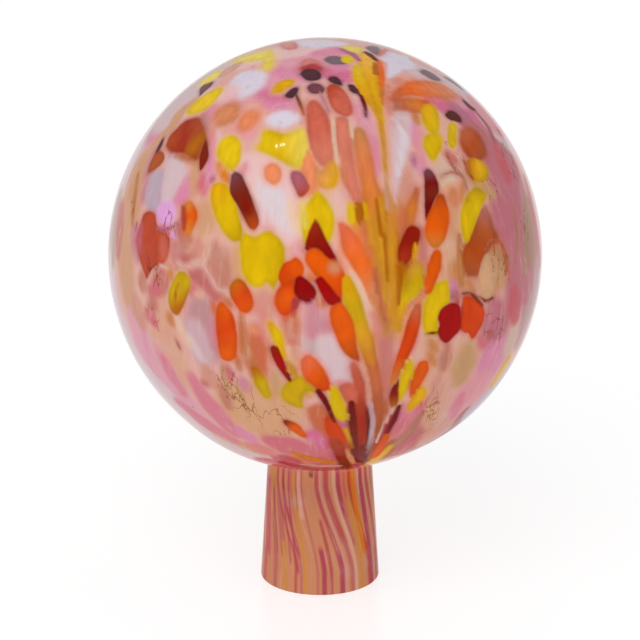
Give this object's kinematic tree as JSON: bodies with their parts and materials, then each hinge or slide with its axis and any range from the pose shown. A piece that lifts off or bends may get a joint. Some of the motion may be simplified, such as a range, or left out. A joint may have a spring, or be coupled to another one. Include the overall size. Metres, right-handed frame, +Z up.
{
  "type": "decorative sphere",
  "caption": "Mouth-blown hollow glass garden ball, speckled with coloured chips, on its open conical neck, which it stands on or which slips over a stake.",
  "frame": {"origin": "on the surface that the ball stands on, under the ball's centre", "axes": "+Z up through the ball's centre, -Y towards the viewer of the picture; the neck stands 1.8 mm towards -X"},
  "size_m": [0.15, 0.15, 0.194],
  "materials": {
    "coloured_glass": "glossy opal glass, pink and peach with stretched chips of yellow, orange, dark red and grey-black"
  },
  "bodies": {
    "root": {"glass_ball_with_neck": "coloured_glass"}
  },
  "joints": []
}
